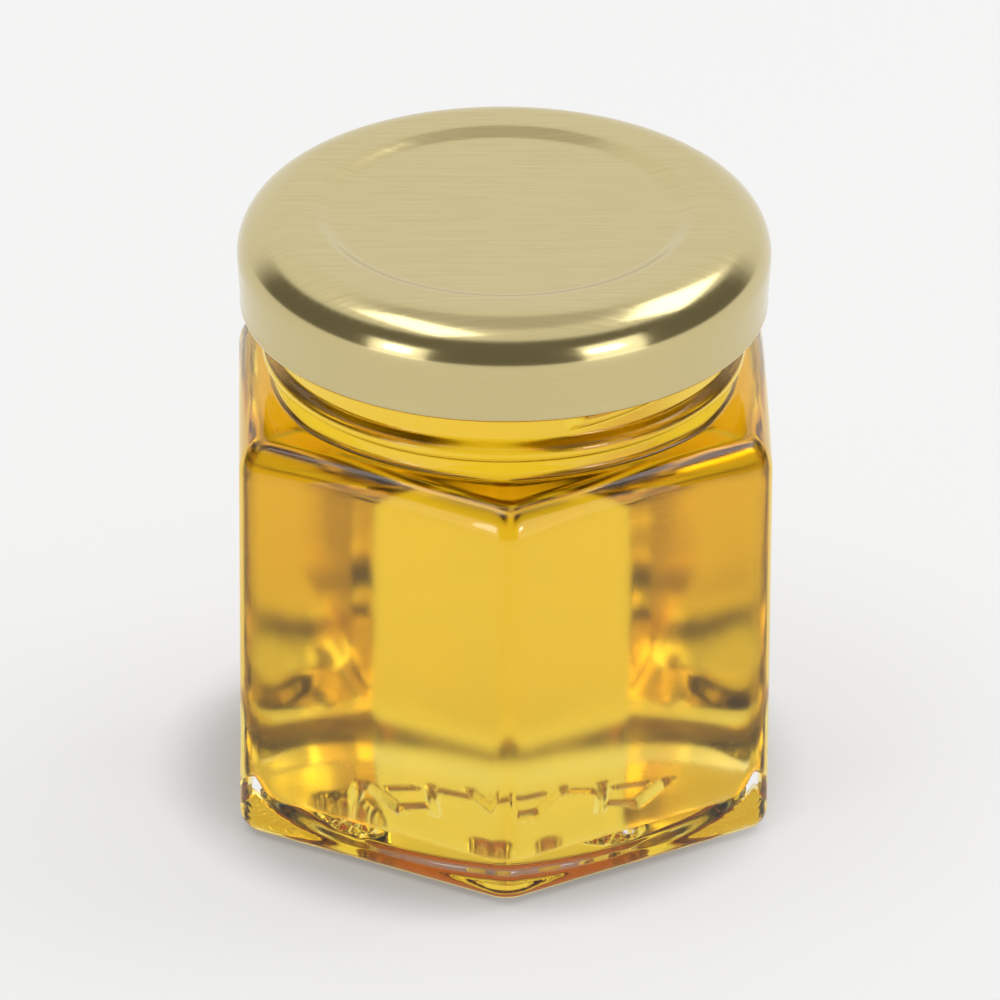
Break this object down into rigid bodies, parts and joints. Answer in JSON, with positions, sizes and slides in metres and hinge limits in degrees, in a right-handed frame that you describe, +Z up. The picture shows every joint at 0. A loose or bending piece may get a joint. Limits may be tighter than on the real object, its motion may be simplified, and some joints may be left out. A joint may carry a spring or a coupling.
{
  "type": "honey jar",
  "caption": "Small hexagonal glass jar filled with clear golden honey and closed by a round brushed gold screw lid with a sunk top panel.",
  "frame": {"origin": "centre of the foot, on the surface the jar stands on, on the axis of the neck", "axes": "+Z up along the axis of neck and lid; two opposite corners of the hexagon lie on the Y axis, and two opposite flat sides face +X and -X"},
  "size_m": [0.0462, 0.0524, 0.0542],
  "materials": {
    "glass": "clear, smooth, moulded",
    "honey": "clear golden liquid",
    "lid_metal": "gold lacquered tinplate, finely brushed in one direction"
  },
  "bodies": {
    "root": {"glass_jar": "glass", "honey": "honey", "lid": "lid_metal"}
  },
  "joints": []
}
